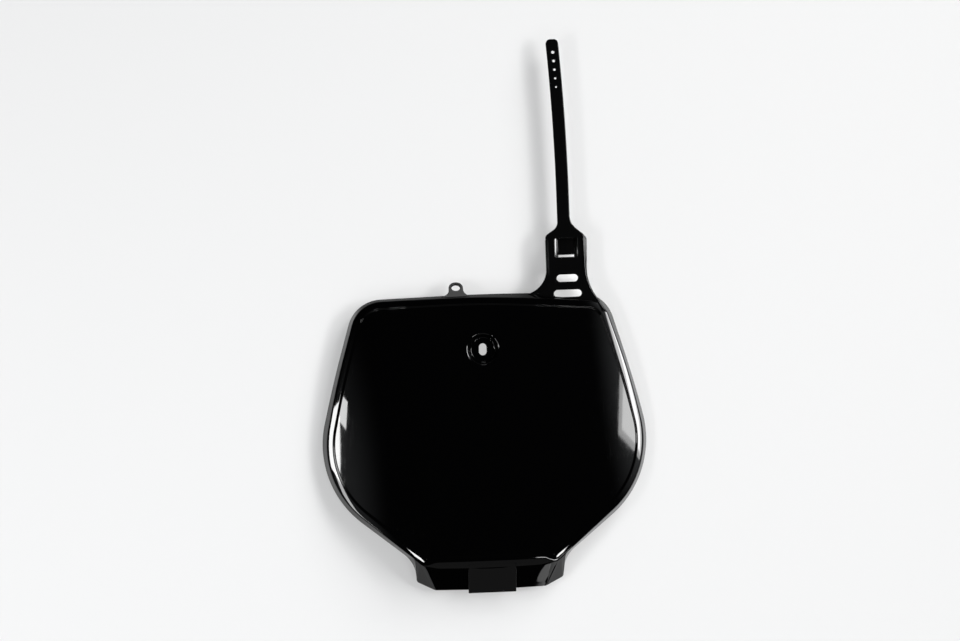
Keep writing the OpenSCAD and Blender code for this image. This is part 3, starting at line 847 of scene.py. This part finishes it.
for other in (lug, tab):
    extra = bpy.data.meshes.new("extra")
    other.to_mesh(extra)
    other.free()
    shell.from_mesh(extra)
    bpy.data.meshes.remove(extra)
mesh = finished(shell, "moulding")
for polygon in mesh.polygons:
    polygon.use_smooth = True
mesh.set_sharp_from_angle(angle=SHARP_ANGLE)
board = bpy.data.objects.new("moulding", mesh)
bpy.context.scene.collection.objects.link(board)
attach(board, "root")
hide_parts("number_board")
print("moulding:", len(mesh.polygons), "faces")

# %% [markdown]
# ## Marks in the plastic
# All finishes of the moulding show the same small things: the slight waviness of a
# thin wall, patches where handling has dulled the gloss, hair-fine scratches that run
# up the board and specks of dust. They are built once, as a node group, and each finish
# sets its own amounts. Without them the black would look drawn instead of moulded.


# %% Helpers for nodes
def set_input(node, **values):
    for name, value in values.items():
        node.inputs[name.replace("_", " ")].default_value = value


def add_node(tree, kind, operation=None, **values):
    node = tree.nodes.new("ShaderNode" + kind)
    if operation:
        node.operation = operation
    set_input(node, **values)
    return node


def wire(tree, source, target):
    tree.links.new(source, target)
    return target.node


def maths(tree, operation, a, b, c=None):
    """A Math node. Each of a, b and c is a socket or a number."""
    node = add_node(tree, "Math", operation)
    for socket, value in zip(node.inputs, (a, b, c)):
        if isinstance(value, (int, float)):
            socket.default_value = value
        elif value is not None:
            tree.links.new(value, socket)
    return node.outputs[0]


def ramp(tree, value, low, high, out_low=0.0, out_high=1.0, eased=False):
    """A Map Range node. Eased, it starts and ends softly."""
    node = add_node(tree, "MapRange", From_Min=low, From_Max=high, To_Min=out_low, To_Max=out_high)
    node.interpolation_type = "SMOOTHSTEP" if eased else "LINEAR"
    return wire(tree, value, node.inputs["Value"]).outputs["Result"]


print("node helpers ready")

# %% The group of marks
marks = bpy.data.node_groups.new("moulding_marks", "ShaderNodeTree")
marks.interface.new_socket("Place", in_out="INPUT", socket_type="NodeSocketVector")
amounts = (("Least Roughness", 0.05), ("Most Roughness", 0.1), ("Waviness", 0.3),
           ("Scratches", 0.05), ("Grain", 0.0))
for name, value in amounts:
    socket = marks.interface.new_socket(name, in_out="INPUT", socket_type="NodeSocketFloat")
    socket.default_value = value
for name in ("Roughness", "Height"):
    marks.interface.new_socket(name, in_out="OUTPUT", socket_type="NodeSocketFloat")
given, result = marks.nodes.new("NodeGroupInput"), marks.nodes.new("NodeGroupOutput")


def pattern(kind, scale, stretch=None, out="Fac", **values):
    """A texture of the group, on places that may be stretched along the board."""
    texture = add_node(marks, "Tex" + kind, Scale=scale, **values)
    place = given.outputs["Place"]
    if stretch:
        mapping = add_node(marks, "Mapping", Scale=stretch)
        place = wire(marks, place, mapping.inputs["Vector"]).outputs[0]
    return wire(marks, place, texture.inputs["Vector"]).outputs[out]


handling = pattern("Noise", 38.0, Detail=5.0, Roughness=0.6)
hairs = ramp(marks, pattern("Noise", 30.0, stretch=(26.0, 26.0, 0.9), Detail=3.0), 0.665, 0.72)
dust = ramp(marks, pattern("Voronoi", 420.0, out="Distance"), 0.1, 0.04)
waves = pattern("Noise", 13.0, Detail=1.0)
grain = pattern("Noise", 1400.0, Detail=2.0)
DUST_ROUGH, HAIR_DEPTH = 0.12, -0.004
least = given.outputs["Least Roughness"]
dulled = maths(marks, "SUBTRACT", given.outputs["Most Roughness"], least)
rough = maths(marks, "MULTIPLY_ADD", ramp(marks, handling, 0.35, 0.7), dulled, least)
rough = maths(marks, "MULTIPLY_ADD", hairs, given.outputs["Scratches"], rough)
wire(marks, maths(marks, "MULTIPLY_ADD", dust, DUST_ROUGH, rough), result.inputs["Roughness"])
height = maths(marks, "MULTIPLY", waves, given.outputs["Waviness"])
height = maths(marks, "MULTIPLY_ADD", grain, given.outputs["Grain"], height)
wire(marks, maths(marks, "MULTIPLY_ADD", hairs, HAIR_DEPTH, height), result.inputs["Height"])
print("marks:", len(marks.nodes), "nodes")

# %% [markdown]
# ## Gloss and satin black plastic
# The plastic is coloured right through. Its front is polished by the tool: almost black,
# with a clear gloss. The neck, the strap and the keeper are a shade lighter and a little
# duller, because they are bent and handled most. The back is the plain half of the
# tool, which leaves a satin finish with a fine grain, and the faces that look backwards
# get it.


# %% The three finishes
BACK_FACING = 0.25


def black_plastic(name, colour, **amounts):
    """A finish: one colour, with its own amounts of the marks."""
    material = bpy.data.materials.new(name)
    material.use_nodes = True
    tree = material.node_tree
    shader = tree.nodes["Principled BSDF"]
    set_input(shader, Base_Color=colour, IOR=1.5)
    place = tree.nodes.new("ShaderNodeTexCoord")
    group = tree.nodes.new("ShaderNodeGroup")
    group.node_tree = marks
    set_input(group, **amounts)
    wire(tree, place.outputs["Object"], group.inputs["Place"])
    wire(tree, group.outputs["Roughness"], shader.inputs["Roughness"])
    bump = add_node(tree, "Bump", Strength=0.25, Distance=0.0006)
    wire(tree, group.outputs["Height"], bump.inputs["Height"])
    wire(tree, bump.outputs["Normal"], shader.inputs["Normal"])
    mesh.materials.append(material)


black_plastic("gloss_black_plastic", (0.0004, 0.0004, 0.00045, 1),
              Least_Roughness=0.02, Most_Roughness=0.06, Waviness=0.2, Scratches=0.04)
black_plastic("satin_black_plastic", (0.006, 0.006, 0.0065, 1),
              Least_Roughness=0.3, Most_Roughness=0.42, Waviness=0.2, Scratches=0.06, Grain=0.05)
black_plastic("strap_black_plastic", (0.0013, 0.0013, 0.0014, 1),
              Least_Roughness=0.08, Most_Roughness=0.14, Waviness=0.2, Scratches=0.05)
for polygon in mesh.polygons:
    if polygon.normal.y > BACK_FACING:
        polygon.material_index = 1
print("satin faces:", sum(polygon.material_index == 1 for polygon in mesh.polygons))

# %% [markdown]
# ## Table
# The photograph shows the board lying on a white table, seen from above. The table
# stands upright here, just behind the skirt. The key light is stronger on the right, so
# the table's white is a little darker there, which evens it out as in the photograph.
# The table keeps the board's soft shadow. A small part of its white is its own light,
# which only the camera and the gloss of the plastic see. Near the neck and the foot the
# table's white is painted darker for the gloss alone: a painted shade that darkens the
# skirt's reflections there. Behind the openings a painted glow lifts the table's white
# for the camera. From behind the table is clear, so that the back can be looked at.

# %% The table's sheet
TABLE_SIZE, TABLE_GAP = 3.0, 0.0005
upright = Matrix.Rotation(math.radians(90), 3, "X")
table_bm = bmesh.new()
bmesh.ops.create_grid(table_bm, x_segments=1, y_segments=1, size=TABLE_SIZE)
bmesh.ops.rotate(table_bm, verts=table_bm.verts[:], cent=(0, 0, 0), matrix=upright)
bmesh.ops.translate(table_bm, verts=table_bm.verts[:], vec=(0, cad_box[1][1] + TABLE_GAP, 0))
table_mesh = bpy.data.meshes.new("table")
table_bm.to_mesh(table_mesh)
table_bm.free()
table = bpy.data.objects.new("table", table_mesh)
bpy.context.scene.collection.objects.link(table)
print("table normal:", tuple(round(v, 2) for v in table_mesh.polygons[0].normal))

# %% The table's evened white, and its painted shade for the gloss
white = bpy.data.materials.new("white_table")
white.use_nodes = True
tree = white.node_tree
tree.nodes.clear()
out = tree.nodes.new("ShaderNodeOutputMaterial")
rays = tree.nodes.new("ShaderNodeLightPath")
where = tree.nodes.new("ShaderNodeSeparateXYZ")
wire(tree, tree.nodes.new("ShaderNodeTexCoord").outputs["Object"], where.inputs[0])
along, up = where.outputs["X"], where.outputs["Z"]
slope = maths(tree, "MULTIPLY_ADD", up, -0.13, -0.205)
evened = maths(tree, "MULTIPLY_ADD", along, slope, 0.414)
evened = maths(tree, "MULTIPLY", evened, maths(tree, "MULTIPLY_ADD", up, -0.4, 0.96))
# painted shade: for the gloss alone the table is darker above the top edge left of the neck and below
# the jaws, more on the left, which darkens the skirt's reflections
above_edge = ramp(tree, up, 0.03, 0.042, eased=True)
left_of_neck = ramp(tree, along, 0.05, 0.075, 0.8, 0.0, eased=True)
below_jaw = ramp(tree, up, -0.13, -0.09, 1.0, 0.0, eased=True)
left_of_foot = ramp(tree, along, 0.0, 0.06, 0.3, 0.05)
painted_top_shade = maths(tree, "MULTIPLY", above_edge, left_of_neck)
painted_foot_shade = maths(tree, "MULTIPLY", below_jaw, left_of_foot)
painted_reflection_shade = maths(tree, "ADD", painted_top_shade, painted_foot_shade)
# the painted shade acts on glossy rays only; it does not change what the camera sees of the table
shade = maths(tree, "SUBTRACT", 1.0, maths(tree, "MULTIPLY", painted_reflection_shade, rays.outputs["Is Glossy Ray"]))
diffuse = tree.nodes.new("ShaderNodeBsdfDiffuse")
wire(tree, maths(tree, "MULTIPLY", shade, evened), diffuse.inputs["Color"])
print("table's white:", len(tree.nodes), "nodes")


# %% The table's own light, and its painted glow behind the openings
def painted_glow_spot(x, z, inner, outer):
    """One within a distance of a place on the table, and nothing farther out."""
    dx, dz = maths(tree, "SUBTRACT", along, x), maths(tree, "SUBTRACT", up, z)
    square = maths(tree, "MULTIPLY_ADD", dx, dx, maths(tree, "MULTIPLY", dz, dz))
    return ramp(tree, maths(tree, "SQRT", square, 0), inner, outer, 1.0, 0.0, eased=True)


# the openings show table that lies in the board's own shadow, so a painted glow there lifts it for the
# camera
STEADY, OPENINGS_PAINTED_GLOW = 0.29, 0.25
behind = maths(tree, "ADD", painted_glow_spot(0.068, 0.046, 0.012, 0.016), painted_glow_spot(0.0005, 0.0, 0.006, 0.009))
behind = maths(tree, "ADD", behind, painted_glow_spot(0.068, 0.064, 0.01, 0.014))
glow = tree.nodes.new("ShaderNodeEmission")
seen = maths(tree, "MAXIMUM", rays.outputs["Is Camera Ray"], rays.outputs["Is Glossy Ray"])
steady = maths(tree, "MULTIPLY", maths(tree, "MULTIPLY", seen, STEADY), shade)
# painted light: a glow on the table behind the slots and the fixing slot, for the camera alone
extra = maths(tree, "MULTIPLY", rays.outputs["Is Camera Ray"], OPENINGS_PAINTED_GLOW)
extra = maths(tree, "MULTIPLY", extra, behind)
wire(tree, maths(tree, "ADD", steady, extra), glow.inputs["Strength"])
both = tree.nodes.new("ShaderNodeAddShader")
wire(tree, diffuse.outputs[0], both.inputs[0])
wire(tree, glow.outputs[0], both.inputs[1])
clear = tree.nodes.new("ShaderNodeBsdfTransparent")
pick = tree.nodes.new("ShaderNodeMixShader")
wire(tree, tree.nodes.new("ShaderNodeNewGeometry").outputs["Backfacing"], pick.inputs[0])
wire(tree, both.outputs[0], pick.inputs[1])
wire(tree, clear.outputs[0], pick.inputs[2])
wire(tree, pick.outputs[0], out.inputs["Surface"])
table_mesh.materials.append(white)
print("table:", len(tree.nodes), "nodes in all")

# %% [markdown]
# ## Lamps
# A large softbox on the upper right is mirrored where the face rolls back on the right.
# Two smaller ones in its place make its middle brighter. A softbox high on the right
# lights the table and throws the soft shadow to the lower left. One on the left is
# mirrored in the left rim, and a small one gives the tip of that reflection. Narrow
# lamps give the glints in the dish and on the foot's ears, and weak cards lift the lug,
# the foot and the right ear. The last two light the back. All else is dark, which is
# why the face looks black.


# %% A helper for lamps
def softbox(name, azimuth, elevation, distance, width, height, radiance, roll=0.0, aim=(0, 0, -0.07)):
    """A lamp, seen from a place on the board: azimuth 0 is straight out, 90 to the right."""
    a, e = math.radians(azimuth), math.radians(elevation)
    way = Vector((math.sin(a) * math.cos(e), -math.cos(a) * math.cos(e), math.sin(e)))
    lamp = bpy.data.lights.new(name, "AREA")
    lamp.shape = "RECTANGLE"
    lamp.size, lamp.size_y = width, height
    lamp.energy = radiance * math.pi * width * height
    holder = bpy.data.objects.new(name, lamp)
    bpy.context.scene.collection.objects.link(holder)
    turn = way.to_track_quat("Z", "Y").to_matrix().to_4x4()
    rolled = turn @ Matrix.Rotation(math.radians(roll), 4, "Z")
    holder.matrix_world = Matrix.Translation(Vector(aim) + way * distance) @ rolled
    return holder


print("lamp helper ready")

# %% The lamps
# azimuth and elevation in degrees, distance, width and height in metres, brightness
right_side, left_side = (0.112, 0.008, -0.055), (-0.119, 0.01, -0.075)
softbox("key_softbox", 46.4, 12.0, 1.6, 0.45, 1.0, 7.0, roll=-16, aim=right_side)
softbox("key_inner", 47.2, 12.2, 1.61, 0.42, 0.98, 6.0, roll=-16, aim=right_side)
softbox("key_centre", 46.8, 11.0, 1.58, 0.18, 0.88, 12.0, roll=-12, aim=right_side)
softbox("high_softbox", 50, 46, 1.5, 0.7, 0.6, 16.0).visible_glossy = False
softbox("left_softbox", -38.3, -1.5, 1.5, 0.28, 0.235, 24.0, roll=-5, aim=left_side)
softbox("left_tip", -31.4, 1.4, 1.5, 0.07, 0.075, 16.0, roll=-20, aim=left_side)
softbox("foot_left_lamp", -14.0, -14.0, 1.2, 0.1, 0.06, 25.0, aim=(-0.056, -0.0045, -0.157))
softbox("foot_right_lamp", 19.0, -13.9, 1.2, 0.08, 0.055, 25.0, aim=(0.053, -0.005, -0.159))
softbox("low_left_lamp", -41, -18, 1.4, 0.12, 0.5, 10.0, aim=(0.01, -0.006, 0.006))
softbox("low_right_lamp", 20, -21, 1.2, 0.4, 0.05, 20.0, aim=(0.045, 0.0, -0.163))
softbox("top_card", 15, 80.5, 0.9, 0.3, 0.25, 1.45, aim=(-0.019, 0.006, 0.046))
softbox("low_card", 0, -49, 1.2, 0.9, 0.9, 0.15, aim=(0.0, 0.01, -0.175))
softbox("low_right_card", 79, -74.6, 1.0, 0.13, 0.13, 1.6, aim=(0.042, 0.001, -0.174))
softbox("back_softbox", 150, 35, 1.6, 0.9, 0.7, 5.0).visible_glossy = False
softbox("back_fill", -135, 5, 1.8, 0.9, 0.9, 1.5)

# %% [markdown]
# ## The room
# The room is the world's background. The gloss sees it almost black, with a faint glow
# beside the softboxes on the right and the left, as lamp housings and stands give. Matt
# surfaces get plain light from all round, which gives the table its soft dark edge
# under the skirt. The camera sees it white.

# %% The room
world = bpy.data.worlds.new("studio")
bpy.context.scene.world = world
world.use_nodes = True
tree = world.node_tree
tree.nodes.clear()
out = tree.nodes.new("ShaderNodeOutputWorld")
room = add_node(tree, "Background", Color=(0.94, 0.97, 1.0, 1))
rays = tree.nodes.new("ShaderNodeLightPath")
place = tree.nodes.new("ShaderNodeTexCoord")


def lobe(azimuth, elevation, low, high, power, strength):
    """A glow round one direction, from the cosine of the angle to it."""
    a, e = math.radians(azimuth), math.radians(elevation)
    way = (math.sin(a) * math.cos(e), -math.cos(a) * math.cos(e), math.sin(e))
    dot = add_node(tree, "VectorMath", "DOT_PRODUCT")
    dot.inputs[1].default_value = way
    wire(tree, place.outputs["Generated"], dot.inputs[0])
    near = ramp(tree, dot.outputs["Value"], low, high)
    return maths(tree, "MULTIPLY", maths(tree, "POWER", near, power), strength)


DARK, PLAIN = 0.004, 0.3
right_glow = lobe(52.1, 11.0, 0.895, 0.955, 2.0, 0.6)
left_glow = lobe(-34, -8, 0.955, 0.995, 2.5, 0.25)
dark = maths(tree, "ADD", maths(tree, "ADD", right_glow, left_glow), DARK)
darker = maths(tree, "SUBTRACT", dark, PLAIN)
unseen = maths(tree, "MULTIPLY_ADD", rays.outputs["Is Glossy Ray"], darker, PLAIN)
wire(tree, maths(tree, "MAXIMUM", unseen, rays.outputs["Is Camera Ray"]), room.inputs["Strength"])
wire(tree, room.outputs[0], out.inputs["Surface"])
print("room:", len(tree.nodes), "nodes")

# %% [markdown]
# ## Camera
# The camera looks at the face from well back, almost three degrees to the left, with a
# long lens. It is rolled by about two degrees, because the board lies slightly turned
# in the picture. The lens follows from the width that the picture spans.

# %% The camera
DISTANCE, PICTURE_W, MM_PER_PIXEL, SENSOR_W = 2.4, 960, 0.775, 36
camera_data = bpy.data.cameras.new("camera")
camera_data.lens = SENSOR_W * DISTANCE / (PICTURE_W * MM_PER_PIXEL * MM)
camera = bpy.data.objects.new("camera", camera_data)
bpy.context.scene.collection.objects.link(camera)
bpy.context.scene.camera = camera
target = Vector((-0.0008, 0.008, 0.0223))
azimuth = math.radians(-2.8)
way = Vector((math.sin(azimuth), -math.cos(azimuth), 0.0))
roll = math.atan2(0.0366, 0.9993)
turn = way.to_track_quat("Z", "Y").to_matrix().to_4x4() @ Matrix.Rotation(-roll, 4, "Z")
camera.matrix_world = Matrix.Translation(target + way * DISTANCE) @ turn
camera_data.clip_end = 20
bpy.context.scene.view_settings.view_transform = "Standard"
print("lens:", round(camera_data.lens, 1), "mm")
